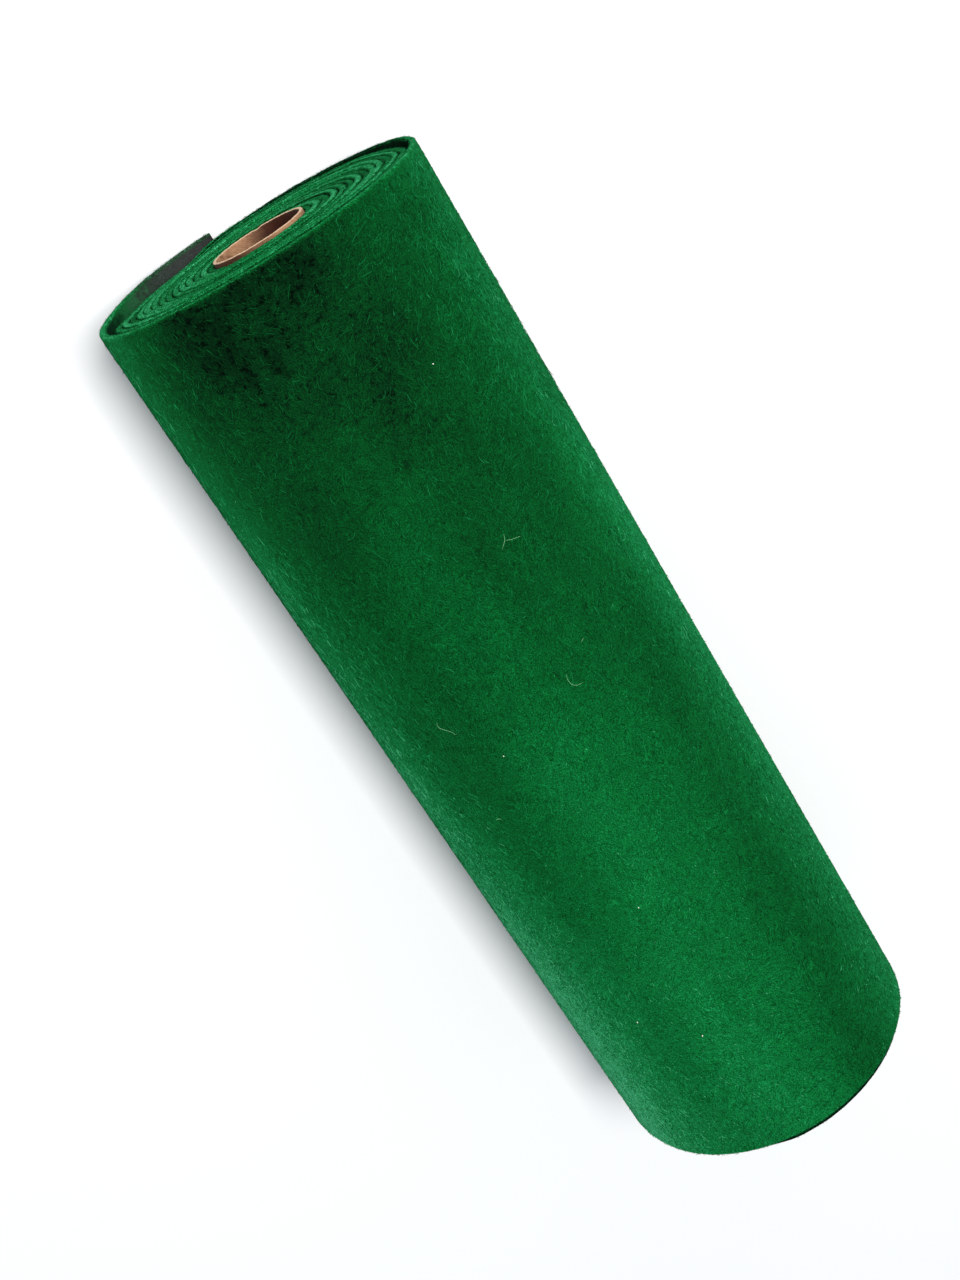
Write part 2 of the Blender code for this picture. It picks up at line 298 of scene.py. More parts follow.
def make_felt():
    # the strip's profile: t across the thickness (0 outside, 1 inside), e along the width
    edge_t = [0.025, 0.085, 0.18, 0.32, 0.5, 0.68, 0.82, 0.915, 0.975]
    edge_e = [0.00078, 0.00040, 0.00016, 0.00003, 0.0, 0.00003, 0.00016, 0.00040, 0.00078]
    gap_shaded = [1.0, 0.42, 0.06, 0.0, 0.0, 0.0, 0.06, 0.42, 1.0]     # how far each lies in the gap between two turns
    low_gap_shaded = [1.0, 0.90, 0.50, 0.10, 0.0, 0.10, 0.50, 0.90, 1.0]   # the same on the side towards the table
    inset = 0.0018
    across = [0.0, 0.012, 0.025, 0.040, 0.056, 0.074, 0.095, 0.12, 0.15, 0.185, 0.23, 0.29, 0.36, 0.43, 0.51, 0.59, 0.67, 0.75, 0.83, 0.91, 1.0]
    inner_n = 6
    rows = []  # (kind, t, where along the width 0-1, metres in from the edge, in a gap)
    for f in across:
        rows.append(("outer", 0.0, f, inset, 0.0, 0.0))
    for t, e, c, low in zip(edge_t, edge_e, gap_shaded, low_gap_shaded):
        rows.append(("far", t, 1.0, e, c, low))
    for k in range(inner_n):
        rows.append(("inner", 1.0, 1.0 - k / (inner_n - 1), inset, 0.0, 0.0))
    for t, e, c, low in zip(reversed(edge_t), reversed(edge_e), reversed(gap_shaded), reversed(low_gap_shaded)):
        rows.append(("near", t, 0.0, e, c, low))
    n = len(rows)
    kinds = [r[0] for r in rows]
    t_of = np.array([r[1] for r in rows])
    f_of = np.array([r[2] for r in rows])
    e_of = np.array([r[3] for r in rows])
    gap_shade_of = np.array([r[4] for r in rows])
    low_gap_shade_of = np.array([r[5] for r in rows])

    th = STATIONS
    s = LENGTHS
    m = len(th)
    near, far = near_edge(th), far_edge(th)
    thick = T * (1.0 + 0.03 * wander(41, s, 0.05))
    r_out = radius_at(th)
    # the turns press on each other, and fill most of the room that they have
    room = r_out - radius_at(th + 360.0) - (0.00007 + 0.00024 * np.clip(wander(43, th, 190.0), 0, 1))
    filled = np.clip(room, thick, T + 0.0007)
    thick = np.where((th > 400.0) & (th < LAST - 380.0), filled, thick)

    # metres from each station's two edges, with the ragged cut added
    x = near[:, None] + (far - near)[:, None] * f_of[None, :]
    x = x + np.where(f_of == 0.0, 1.0, np.where(f_of == 1.0, -1.0, 0.0))[None, :] * e_of[None, :]
    tt = t_of[None, :] * np.ones((m, 1))
    ragged = 0.00009 * cloud(51, s[:, None], tt, 0.0021, 0.45) + 0.00010 * cloud(52, s[:, None], tt, 0.0062, 0.8)
    is_edge = np.array([k in ("near", "far") for k in kinds])
    x = x + ragged * is_edge[None, :]

    # the surface is very slightly uneven
    bump = 0.00016 * cloud(61, s[:, None], x, 0.045, 0.07) + 0.00008 * cloud(62, s[:, None], x, 0.016, 0.022)
    on_table = 1.0 - smooth(16, 34, th) * (1 - smooth(330, 348, th)) * (th < 372)
    bump = bump * np.where(th < 372, 1.0 - on_table, 0.35)[:, None]
    r = r_out[:, None] + bump - tt * thick[:, None]

    # rounded cut at the two ends of the strip
    ends = np.ones(m)
    for i, k in ((0, 0.62), (1, 0.97), (m - 1, 0.62), (m - 2, 0.97)):
        ends[i] = k
    mid = r_out[:, None] - thick[:, None] / 2
    r = mid + (r - mid) * ends[:, None]
    th2 = np.repeat(th[:, None], n, axis=1)
    th2[0] += 1.0 - 0.55                                     # first ring sits a little inside the next one
    # the loose end was cut by hand, a little out of square
    cut = 1.2 * wander(71, x[0], 0.12) + 0.35 * wander(72, x[0], 0.018)
    for i in range(6):
        th2[i] += cut * (1 - i / 6.0) * 0.55
    # keep it on the table
    a = np.radians(th2)
    y = -np.sin(a) * r
    z = AXIS_Z - np.cos(a) * r
    z = np.where(th[:, None] < 372, np.maximum(z, 0.00002), z)
    co = np.stack([x, y, z], axis=2).reshape(-1, 3)

    idx = np.arange(m * n).reshape(m, n)
    a0 = idx[:-1, :]
    a1 = idx[1:, :]
    b0 = np.roll(idx, -1, axis=1)[:-1, :]
    b1 = np.roll(idx, -1, axis=1)[1:, :]
    quads = np.stack([a0, a1, b1, b0], axis=2).reshape(-1, 4)
    faces = quads.tolist()
    faces.append(idx[0, ::-1].tolist()[::-1])
    faces.append(idx[-1, :].tolist()[::-1])
    ob = new_object("felt_strip", co, faces)
    mesh = ob.data

    # which way is out: the outer surface's first face has to point away from the axis
    f = mesh.polygons[int(n * 100 + 4)]
    c, nrm = f.center, f.normal
    if nrm.dot(Vector((0.0, c.y, c.z - AXIS_Z))) < 0:
        mesh.flip_normals()
        faces = [list(reversed(q)) for q in faces]

    # ---- maps. "cloth" is in units of 10 cm along and across the strip and round its edges
    v_of = np.zeros(n + 1)
    for k in range(n):
        if kinds[k] == "outer":
            v_of[k] = -HALF + WIDTH * f_of[k]
        elif kinds[k] == "far":
            v_of[k] = HALF + 0.0008 + T * t_of[k]
        elif kinds[k] == "inner":
            v_of[k] = HALF + 0.006 + WIDTH * (1.0 - f_of[k])
        else:
            v_of[k] = 3 * HALF + 0.008 + T * (1.0 - t_of[k])
    v_of[n] = v_of[n - 1] + 0.0010

    quads_n = len(quads)
    col_a = np.tile(np.arange(n), m - 1)
    row_a = np.repeat(np.arange(m - 1), n)
    cloth = np.zeros((quads_n, 4, 2))
    bake = np.zeros((quads_n, 4, 2))
    kind_of_col = []
    for k in range(n):
        k2 = (k + 1) % n
        pair = (kinds[k], kinds[k2])
        tm = (t_of[k] + t_of[k2]) / 2
        if pair == ("outer", "outer") or tm < 0.12:
            kind_of_col.append(0)
        elif "far" in pair and tm < 0.88:
            kind_of_col.append(2)
        elif "near" in pair and tm < 0.88:
            kind_of_col.append(1)
        else:
            kind_of_col.append(3)
    kind_of_col = np.array(kind_of_col)
    kq = kind_of_col[col_a]
    corner_row = np.stack([row_a, row_a + 1, row_a + 1, row_a], axis=1)
    corner_col = np.stack([col_a, col_a, col_a + 1, col_a + 1], axis=1)
    vert_col = corner_col % n
    X, Y, Z = x[corner_row, vert_col], y[corner_row, vert_col], z[corner_row, vert_col]
    TH, S = th[corner_row], s[corner_row]
    cloth[..., 0] = S * 10.0
    cloth[..., 1] = v_of[corner_col] * 10.0
    face_turn = th[row_a][:, None] * np.ones((1, 4))
    xin = np.clip((X + HALF + 0.004) / (WIDTH + 0.008), 0, 1)
    # the outermost turn's outside fills most of the map
    u = np.where(kq[:, None] == 0, 0.003 + 0.690 * (TH - START) / 366.0, 0.0)
    v = np.where(kq[:, None] == 0, 0.004 + 0.992 * xin, 0.0)
    hidden_outer = (kq[:, None] == 0) & (face_turn >= 372.0)
    u = np.where(hidden_outer, 0.705 + 0.29 * (TH - 372.0) / (LAST - 372.0), u)
    v = np.where(hidden_outer, 0.80 + 0.09 * xin, v)
    for kind, base in ((1, 0.004), (2, 0.304)):
        u = np.where(kq[:, None] == kind, 0.705 + 0.29 * (Y / 0.150 + 0.5), u)
        v = np.where(kq[:, None] == kind, base + 0.29 * Z / 0.145, v)
    loose_inner = (kq[:, None] == 3) & (face_turn < 130.0)
    hidden_inner = (kq[:, None] == 3) & (face_turn >= 130.0)
    u = np.where(loose_inner, 0.705 + 0.29 * (TH - START) / 122.0, u)
    v = np.where(loose_inner, 0.605 + 0.185 * xin, v)
    u = np.where(hidden_inner, 0.705 + 0.29 * (TH - 126.0) / (LAST - 126.0), u)
    v = np.where(hidden_inner, 0.90 + 0.09 * xin, v)
    bake[..., 0], bake[..., 1] = u, v

    # the two end caps
    caps_cloth, caps_bake = [], []
    for i in (0, m - 1):
        ring = list(range(n))
        caps_cloth.append([(s[i] * 10 + 0.03 * t_of[k], v_of[k] * 10) for k in ring])
        base = 0.9955 if i == 0 else 0.9975
        caps_bake.append([(0.705 + 0.28 * float(np.clip((x[i, k] + HALF + 0.004) / (WIDTH + 0.008), 0, 1)), base + 0.0015 * t_of[k]) for k in ring])

    # corner values by face, in the order of each face's vertices
    cloth_map = mesh.uv_layers.new(name="cloth")
    bake_map = mesh.uv_layers.new(name="OFBake")
    loops_v = np.zeros(len(mesh.loops), int)
    mesh.loops.foreach_get("vertex_index", loops_v)
    cl = np.zeros((len(mesh.loops), 2))
    bk = np.zeros((len(mesh.loops), 2))
    lv = loops_v[: quads_n * 4].reshape(-1, 4)
    vert_id = corner_row * n + vert_col
    order = np.argmax(lv[:, :, None] == vert_id[:, None, :], axis=2)
    rows_i = np.arange(quads_n)[:, None]
    cl[: quads_n * 4] = cloth[rows_i, order].reshape(-1, 2)
    bk[: quads_n * 4] = bake[rows_i, order].reshape(-1, 2)
    at = quads_n * 4
    for i, row in enumerate((0, m - 1)):
        ids = loops_v[at: at + n] - row * n
        cl[at: at + n] = np.array(caps_cloth[i])[ids]
        bk[at: at + n] = np.array(caps_bake[i])[ids]
        at += n
    cloth_map.data.foreach_set("uv", cl.ravel())
    bake_map.data.foreach_set("uv", bk.ravel())
    mesh.uv_layers.active = cloth_map

    # ---- what the material reads at each point
    TH2 = np.repeat(th[:, None], n, axis=1)
    edge = np.where(is_edge[None, :], 1.0, 0.0) * np.ones((m, 1))
    # the outer corner of the outermost turn is as green as the outside
    corner = np.interp(t_of, [0.0, 0.025, 0.085, 0.18, 0.32], [0.0, 0.18, 0.38, 0.65, 0.95])[None, :]
    edge = np.where(TH2 < 372.0, edge * corner, edge)
    is_near = np.array([k == "near" for k in kinds])[None, :]
    # painted shade: "inside" marks the loose end's inner side and its -X cut, which the material paints dark as they
    # lie in the roll's shade
    inside = np.where((t_of[None, :] >= 0.999) & (TH2 < 128), 1 - smooth(98, 124, TH2), 0.0)
    inside = np.maximum(inside, np.where(is_near, 0.72 * (1 - smooth(40, 74, TH2)), 0.0))
    # painted shade in the gaps between the turns: dark lines, stronger and weaker by place, most on the side towards
    # the table
    down = smooth(-0.25, 0.75, np.cos(np.radians(TH2 + 20.0)))
    by_turn = wander(64, TH2, 300.0) + 0.35 * wander(65, TH2, 85.0)
    strength = 0.84 + 0.06 * down + (0.30 + 0.40 * down) * by_turn
    gap_shade = (gap_shade_of[None, :] * (1 - down) + low_gap_shade_of[None, :] * down) * np.clip(strength, 0.12, 1.0)
    # painted shade: a turn that lies further back than its neighbours is painted darker all over
    back = (even_of(TH2) - 0.5 * even_of(TH2 - 360.0) - 0.5 * even_of(TH2 + 360.0)) / 0.0004
    gap_shade = gap_shade + np.where(is_edge[None, :] & (TH2 > 380), 0.26 * np.clip(back, -0.6, 1.3), 0.0)
    open_side = (TH2 < 372.0) & (t_of[None, :] < 0.5)
    gap_shade = np.where(open_side, 0.0, gap_shade)
    free = (TH2 < 100.0) & (t_of[None, :] > 0.5)
    gap_shade = np.where(free, gap_shade * 0.25, gap_shade)
    # the cuts are darkest above the tube
    over = smooth(118, 150, TH2 % 360.0) * (1 - smooth(205, 240, TH2 % 360.0))
    gap_shade = gap_shade + np.where(is_edge[None, :] & (TH2 > 372.0), 0.17 * over, 0.0)
    # painted shade: deep in the roll the covered faces are painted dark
    covered = ((t_of[None, :] <= 0.0) & (TH2 >= 372.0)) | ((t_of[None, :] >= 1.0) & (TH2 >= 110.0))
    gap_shade = np.where(covered, 0.60, gap_shade)
    # the outermost turn's own edge is in shade on the side towards the table
    low_edge = smooth(272, 296, TH2) * (1 - smooth(352, 368, TH2))
    gap_shade = np.where(is_edge[None, :] & (TH2 < 372.0), np.maximum(gap_shade, 0.80 * low_edge), gap_shade)
    # and its cut is palest round the bend at the -Y side
    gap_shade = gap_shade - np.where(is_edge[None, :], 0.07 * smooth(52, 70, TH2) * (1 - smooth(104, 122, TH2)), 0.0)
    float_attribute(mesh, "tone", tone_of(TH2, x).ravel())
    float_attribute(mesh, "edge", edge.ravel())
    float_attribute(mesh, "inside", inside.ravel())
    float_attribute(mesh, "gap_shade", gap_shade.ravel())
    float_attribute(mesh, "turn", TH2.ravel() / 360.0)
    return ob


# ---------------------------------------------------------------- how light or dark the felt is, by place, painted sheen on its sides included
def tone_of(theta, x):
    """0 is nearly black green, 1 the palest green. theta in degrees, x in metres; listed soft-edged areas."""
    theta = np.asarray(theta, float)
    x = np.asarray(x, float)
    a = (theta % 360.0) - 180.0            # from the top, + towards +Y
    along = (x + HALF) / WIDTH             # 0 near end, 1 far end
    base = np.interp(along, [0.0, 0.04, 0.15, 0.35, 0.55, 0.80, 1.0], [0.337, 0.310, 0.325, 0.400, 0.484, 0.551, 0.566])
    # painted sheen and painted light: lighter towards the two sides, where the fuzz shows a grazing sheen and gets less
    # light, and lighter on the +Y side towards the -X end, darker towards the far end
    side = 0.10 * smooth(38, 75, np.abs(a)) + 0.03 * smooth(45, 62, a) * (1 - along * 0.6)
    side = side + 0.01 * smooth(28, 46, -a) + 0.13 * smooth(48, 73, -a)
    towards = np.interp(along, [0.0, 0.18, 0.35, 0.55, 0.75, 1.0], [0.09, 0.09, 0.045, 0.025, -0.06, -0.08])
    side = side + smooth(0, 35, a) * towards + 0.02 * smooth(45, 62, a)
    side = side + 0.085 * smooth(0.6, 0.9, along) * smooth(28, 54, -a)
    # the painted sheen and light on the two sides reach only as far down as they bulge
    side = side * (1.0 - 0.72 * smooth(78, 118, np.abs(a)))
    # a pale band along the top and darker ones beside it
    centre = -7.0 + 2.0 * np.sin(along * 3.0 + 0.4)
    band = 0.035 * np.exp(-(((a - centre) / 13.0) ** 2)) * smooth(0.25, 0.55, along) * (1 - 0.8 * smooth(0.62, 0.9, along))
    dips = -0.098 * np.exp(-(((a - centre - 39.0) / 14.0) ** 2)) - 0.020 * np.exp(-(((a - centre - 14.0) / 10.0) ** 2))
    dips = dips - 0.045 * np.exp(-(((a - centre + 27.0) / 12.0) ** 2))
    # darker patches, most of them near the -X end, and a few paler ones
    patch = np.zeros_like(a)
    for pa, px, wa, wx, depth in (
        (-22.0, 0.035, 17.0, 0.060, -0.17),
        (2.0, 0.10, 20.0, 0.075, -0.08),
        (-50.0, 0.025, 22.0, 0.06, -0.03),
        (-18.0, 0.18, 14.0, 0.07, -0.035),
        (13.0, 0.35, 14.0, 0.10, -0.055),
        (36.0, 0.18, 11.0, 0.08, 0.060),
        (-10.0, 0.76, 11.0, 0.10, -0.045),
        (4.0, 0.012, 22.0, 0.022, -0.13),
        (22.0, 0.09, 12.0, 0.07, -0.03),
        (34.0, 0.04, 16.0, 0.07, 0.05),
        (-8.0, 0.055, 10.0, 0.05, 0.030),
        (-50.0, 0.20, 12.0, 0.08, -0.025),
        (20.0, 0.95, 9.0, 0.10, -0.035),
        (-36.0, 0.95, 9.0, 0.08, 0.050),
        (-56.0, 0.75, 8.0, 0.12, 0.035),
    ):
        patch = patch + depth * np.exp(-(((a - pa) / wa) ** 2) - ((along - px) / wx) ** 2)
    blotch = cloud(83, a * 0.00125, x, 0.0065, 0.0075) + 0.7 * cloud(84, a * 0.00125, x, 0.0032, 0.0036)
    patch = patch * (1.0 + 0.42 * blotch)
    soft = 0.030 * cloud(81, a * 0.00125, x, 0.022, 0.03) + 0.022 * cloud(82, a * 0.00125, x, 0.009, 0.011)
    return np.clip(base + side + band + dips + patch + soft, 0.02, 1.0)


# ---------------------------------------------------------------- material helpers
def node_tree(name):
    mat = bpy.data.materials.new(name)
    mat.use_nodes = True
    nt = mat.node_tree
    nt.nodes.clear()
    return mat, nt


def add(nt, kind, **values):
    node = nt.nodes.new(kind)
    for key, value in values.items():
        setattr(node, key, value)
    return node


def link(nt, a, b):
    nt.links.new(a, b)


def math_node(nt, op, a, b=None, c=None, clamp=False):
    node = add(nt, "ShaderNodeMath", operation=op, use_clamp=clamp)
    for i, v in enumerate((a, b, c)):
        if v is None:
            continue
        if isinstance(v, (int, float)):
            node.inputs[i].default_value = v
        else:
            link(nt, v, node.inputs[i])
    return node.outputs[0]


def ramp(nt, factor, stops, interpolation="EASE"):
    node = add(nt, "ShaderNodeValToRGB")
    node.color_ramp.interpolation = interpolation
    els = node.color_ramp.elements
    while len(els) > 1:
        els.remove(els[-1])
    els[0].position = stops[0][0]
    els[0].color = (*stops[0][1], 1.0)
    for p, c in stops[1:]:
        e = els.new(p)
        e.color = (*c, 1.0)
    link(nt, factor, node.inputs["Fac"])
    return node.outputs["Color"]


def noise(nt, vector, scale, detail=2.0, rough=0.5, dims="3D", distortion=0.0):
    node = add(nt, "ShaderNodeTexNoise", noise_dimensions=dims)
    node.inputs["Scale"].default_value = scale
    node.inputs["Detail"].default_value = detail
    node.inputs["Roughness"].default_value = rough
    node.inputs["Distortion"].default_value = distortion
    link(nt, vector, node.inputs["Vector"])
    return node


def mapping(nt, vector, scale=(1, 1, 1), rotation=0.0, location=(0, 0, 0)):
    node = add(nt, "ShaderNodeMapping")
    node.inputs["Location"].default_value = location
    node.inputs["Rotation"].default_value = (0.0, 0.0, rotation)
    node.inputs["Scale"].default_value = scale
    link(nt, vector, node.inputs["Vector"])
    return node.outputs["Vector"]


def srgb(*rgb):
    out = []
    for c in rgb:
        c = c / 255.0
        out.append(c / 12.92 if c <= 0.04045 else ((c + 0.055) / 1.055) ** 2.4)
    return tuple(out)


GREENS = [  # from the darkest to the palest green of the felt
    (0.00, srgb(2, 8, 4)),
    (0.18, srgb(5, 34, 14)),
    (0.38, srgb(5, 66, 25)),
    (0.56, srgb(7, 94, 41)),
    (0.74, srgb(19, 123, 66)),
    (0.90, srgb(47, 153, 98)),
    (1.00, srgb(90, 187, 139)),
]


def felt_material():
    mat, nt = node_tree("felt")
    out = add(nt, "ShaderNodeOutputMaterial")
    bsdf = add(nt, "ShaderNodeBsdfPrincipled")
    link(nt, bsdf.outputs["BSDF"], out.inputs["Surface"])
    bsdf.inputs["Roughness"].default_value = 0.95
    bsdf.inputs["Specular IOR Level"].default_value = 0.0
    bsdf.inputs["Sheen Weight"].default_value = 0.025
    bsdf.inputs["Sheen Roughness"].default_value = 0.5
    bsdf.inputs["Sheen Tint"].default_value = (0.25, 0.90, 0.50, 1.0)

    uv = add(nt, "ShaderNodeUVMap", uv_map="cloth").outputs["UV"]
    tone = add(nt, "ShaderNodeAttribute", attribute_name="tone").outputs["Fac"]
    edge = add(nt, "ShaderNodeAttribute", attribute_name="edge").outputs["Fac"]
    inside = add(nt, "ShaderNodeAttribute", attribute_name="inside").outputs["Fac"]
    turn = add(nt, "ShaderNodeAttribute", attribute_name="turn").outputs["Fac"]
    gap_shade = add(nt, "ShaderNodeAttribute", attribute_name="gap_shade").outputs["Fac"]

    # the fibres' direction swirls: the plane is pulled about by a slow noise before it is stretched
    # (one unit of the map is 10 cm)
    slow = noise(nt, uv, 3.2, detail=1.0, dims="2D")
    pull = add(nt, "ShaderNodeVectorMath", operation="MULTIPLY_ADD")
    link(nt, slow.outputs["Color"], pull.inputs[0])
    pull.inputs[1].default_value = (0.34, 0.34, 0.0)
    link(nt, uv, pull.inputs[2])
    quick_ = noise(nt, uv, 16.0, detail=1.0, dims="2D")
    pull2 = add(nt, "ShaderNodeVectorMath", operation="MULTIPLY_ADD")
    link(nt, quick_.outputs["Color"], pull2.inputs[0])
    pull2.inputs[1].default_value = (0.045, 0.045, 0.0)
    link(nt, pull.outputs[0], pull2.inputs[2])
    warped = pull2.outputs[0]

    def turned(rotation, thin, long, seed):
        """Light strokes: noise stretched along one direction. Sizes in mm."""
        node = add(nt, "ShaderNodeVectorRotate", rotation_type="Z_AXIS")
        node.inputs["Angle"].default_value = rotation
        link(nt, warped, node.inputs["Vector"])
        v = mapping(nt, node.outputs["Vector"], (100.0 / thin, 100.0 / long, 1.0), 0.0, (seed, seed * 1.7, 0.0))
        return noise(nt, v, 1.0, detail=1.5, rough=0.55, dims="2D").outputs["Fac"]

    # u runs round the roll and v along it: stretched along v is a stroke along the roll
    s1 = turned(0.15, 0.37, 2.0, 3.0)
    s2 = turned(-0.75, 0.37, 1.8, 11.0)
    s3 = turned(1.05, 0.38, 1.9, 23.0)
    choose_a = ramp(nt, noise(nt, uv, 9.0, detail=1.0, dims="2D").outputs["Fac"], [(0.40, (0, 0, 0)), (0.60, (1, 1, 1))])
    choose_b = ramp(
        nt, noise(nt, mapping(nt, uv, location=(5.3, 2.1, 0)), 7.0, detail=1.0, dims="2D").outputs["Fac"],
        [(0.42, (0, 0, 0)), (0.60, (1, 1, 1))],
    )
    mix1 = add(nt, "ShaderNodeMix", data_type="FLOAT")
    link(nt, choose_a, mix1.inputs[0]); link(nt, s1, mix1.inputs[2]); link(nt, s2, mix1.inputs[3])
    mix2 = add(nt, "ShaderNodeMix", data_type="FLOAT")
    link(nt, choose_b, mix2.inputs[0]); link(nt, mix1.outputs[0], mix2.inputs[2]); link(nt, s3, mix2.inputs[3])
    fibre = mix2.outputs[0]

    # small tufts and pits, 2 to 5 mm, and a very fine speckle
    tufts = noise(nt, uv, 32.0, detail=3.0, rough=0.6, dims="2D").outputs["Fac"]
    speck = noise(nt, uv, 190.0, detail=2.0, rough=0.6, dims="2D").outputs["Fac"]
    clumps = noise(nt, uv, 13.0, detail=1.0, rough=0.5, dims="2D").outputs["Fac"]

    f1 = math_node(nt, "MULTIPLY", math_node(nt, "SUBTRACT", fibre, 0.5), 0.46)
    f2 = math_node(nt, "MULTIPLY", math_node(nt, "SUBTRACT", tufts, 0.5), 0.11)
    f3 = math_node(nt, "MULTIPLY", math_node(nt, "SUBTRACT", speck, 0.5), 0.64)
    f4 = math_node(nt, "MULTIPLY", math_node(nt, "SUBTRACT", clumps, 0.5), 0.07)
    grain = math_node(nt, "ADD", math_node(nt, "ADD", f1, f2), math_node(nt, "ADD", f3, f4))
    # the paler the felt, the more its strokes show; a cut edge is the roughest
    rough = math_node(nt, "ADD", 0.40, math_node(nt, "MULTIPLY", tone, 1.65))
    rough = math_node(nt, "ADD", rough, math_node(nt, "MULTIPLY", edge, 1.15))
    grain = math_node(nt, "MULTIPLY", grain, rough)

    # where the felt is darkest it is broken by small dark pits
    pits = math_node(nt, "MULTIPLY", math_node(nt, "SUBTRACT", noise(nt, uv, 33.0, detail=3.0, rough=0.66, dims="2D").outputs["Fac"], 0.52), 5.0, clamp=True)
    dark_places = math_node(nt, "MULTIPLY", math_node(nt, "SUBTRACT", 0.36, tone), 5.0, clamp=True)
    dark_places = math_node(nt, "MULTIPLY", dark_places, math_node(nt, "SUBTRACT", 1.0, edge))
    pits = math_node(nt, "MULTIPLY", math_node(nt, "MULTIPLY", pits, dark_places), 0.27)
    grain = math_node(nt, "SUBTRACT", grain, pits)

    # cut edges are paler, and look cut across: short strokes through the thickness and a darker line here and there
    edge_tone = math_node(nt, "ADD", 0.66, math_node(nt, "MULTIPLY", math_node(nt, "SUBTRACT", tufts, 0.5), 0.25))
    mixe = add(nt, "ShaderNodeMix", data_type="FLOAT")
    link(nt, edge, mixe.inputs[0]); link(nt, tone, mixe.inputs[2]); link(nt, edge_tone, mixe.inputs[3])
    # painted shade of the gaps and the covered faces darkens the green here
    deep = math_node(nt, "MULTIPLY", gap_shade, -0.72)
    level = math_node(nt, "ADD", math_node(nt, "ADD", mixe.outputs[0], grain), deep, clamp=True)
    green = ramp(nt, level, GREENS, "LINEAR")

    # painted shade: the loose end's inner side is painted a shaded charcoal towards the cut, turning to a deep green
    # and then to near black further into the slit
    loose_end_shade = ramp(
        nt, math_node(nt, "ADD", turn, math_node(nt, "MULTIPLY", math_node(nt, "SUBTRACT", tufts, 0.5), 0.06)),
        [
            (0.03, srgb(38, 38, 37)), (0.07, srgb(46, 48, 47)), (0.105, srgb(43, 49, 45)), (0.130, srgb(36, 50, 40)),
            (0.150, srgb(34, 76, 48)), (0.175, srgb(20, 76, 40)), (0.200, srgb(4, 36, 13)), (0.235, srgb(0, 12, 3)),
        ],
        "LINEAR",
    )
    shade = add(nt, "ShaderNodeMix", data_type="RGBA", blend_type="MULTIPLY")
    shade.inputs[0].default_value = 1.0
    link(nt, loose_end_shade, shade.inputs[6])
    link(nt, ramp(nt, math_node(nt, "ADD", 0.5, math_node(nt, "MULTIPLY", grain, 1.6)), [(0.0, (0.35, 0.35, 0.35)), (1.0, (1.9, 1.9, 1.9))], "LINEAR"), shade.inputs[7])
    # a cut edge is a deeper green than the face of the cloth
    cut = add(nt, "ShaderNodeMix", data_type="RGBA", blend_type="MULTIPLY")
    link(nt, edge, cut.inputs[0])
    link(nt, green, cut.inputs[6])
    cut.inputs[7].default_value = (0.85, 1.0, 0.92, 1.0)
    final = add(nt, "ShaderNodeMix", data_type="RGBA")
    link(nt, inside, final.inputs[0])
    link(nt, cut.outputs[2], final.inputs[6])
    link(nt, shade.outputs[2], final.inputs[7])
    link(nt, final.outputs[2], bsdf.inputs["Base Color"])

    height = math_node(nt, "ADD", math_node(nt, "MULTIPLY", fibre, 0.7), math_node(nt, "MULTIPLY", speck, 0.25))
    height = math_node(nt, "ADD", height, math_node(nt, "MULTIPLY", tufts, 0.9))
    bump = add(nt, "ShaderNodeBump")
    bump.inputs["Strength"].default_value = 0.55
    bump.inputs["Distance"].default_value = 0.0007
    link(nt, height, bump.inputs["Height"])
    link(nt, bump.outputs["Normal"], bsdf.inputs["Normal"])
    return mat


def fibre_material(name, rgb):
    mat, nt = node_tree(name)
    out = add(nt, "ShaderNodeOutputMaterial")
    bsdf = add(nt, "ShaderNodeBsdfPrincipled")
    link(nt, bsdf.outputs["BSDF"], out.inputs["Surface"])
    bsdf.inputs["Base Color"].default_value = (*rgb, 1.0)
    bsdf.inputs["Roughness"].default_value = 0.8
    bsdf.inputs["Specular IOR Level"].default_value = 0.03
    return mat


FELT = felt_material()
felt = make_felt()
felt.data.materials.append(FELT)
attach(felt, "root")
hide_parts("felt_roll")


# ---------------------------------------------------------------- loose fibres on the felt
def spindles(name, paths, widths, materials, which, sides=3):
    """Closed little spindles along paths (N, K, 3); widths in metres at the middle. One mesh."""
    paths = np.asarray(paths, float)
    count, k, _ = paths.shape
    tangent = np.gradient(paths, axis=1)
    tangent /= np.maximum(np.linalg.norm(tangent, axis=2, keepdims=True), 1e-12)
    ref = np.tile(np.array([0.23, 0.71, 0.66]), (count, k, 1))
    a = np.cross(tangent, ref)
    a /= np.maximum(np.linalg.norm(a, axis=2, keepdims=True), 1e-9)
    b = np.cross(tangent, a)
    rings = k - 2
    along = np.linspace(0, 1, k)[1:-1]
    swell = np.sin(np.pi * along) ** 0.4
    per = 2 + rings * sides
    co = np.zeros((count, per, 3))
    co[:, 0] = paths[:, 0]
    co[:, 1] = paths[:, -1]
    for i in range(rings):
        r = (np.asarray(widths) / 2 * swell[i])[:, None]
        for j in range(sides):
            ang = 2 * math.pi * j / sides
            co[:, 2 + i * sides + j] = paths[:, i + 1] + (a[:, i + 1] * math.cos(ang) + b[:, i + 1] * math.sin(ang)) * r
    tris = []
    for j in range(sides):
        j2 = (j + 1) % sides
        tris.append((0, 2 + j2, 2 + j))
        for i in range(rings - 1):
            p, q = 2 + i * sides, 2 + (i + 1) * sides
            tris.append((p + j, p + j2, q + j2))
            tris.append((p + j, q + j2, q + j))
        last = 2 + (rings - 1) * sides
        tris.append((1, last + j, last + j2))
    tris = np.array(tris)
    faces = (tris[None] + (np.arange(count) * per)[:, None, None]).reshape(-1, 3)
    ob = new_object(name, co.reshape(-1, 3), faces.tolist())
    for m in materials:
        ob.data.materials.append(m)
    ob.data.polygons.foreach_set("material_index", np.repeat(np.asarray(which, np.int32), len(tris)))
    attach(ob, "root")
    return ob


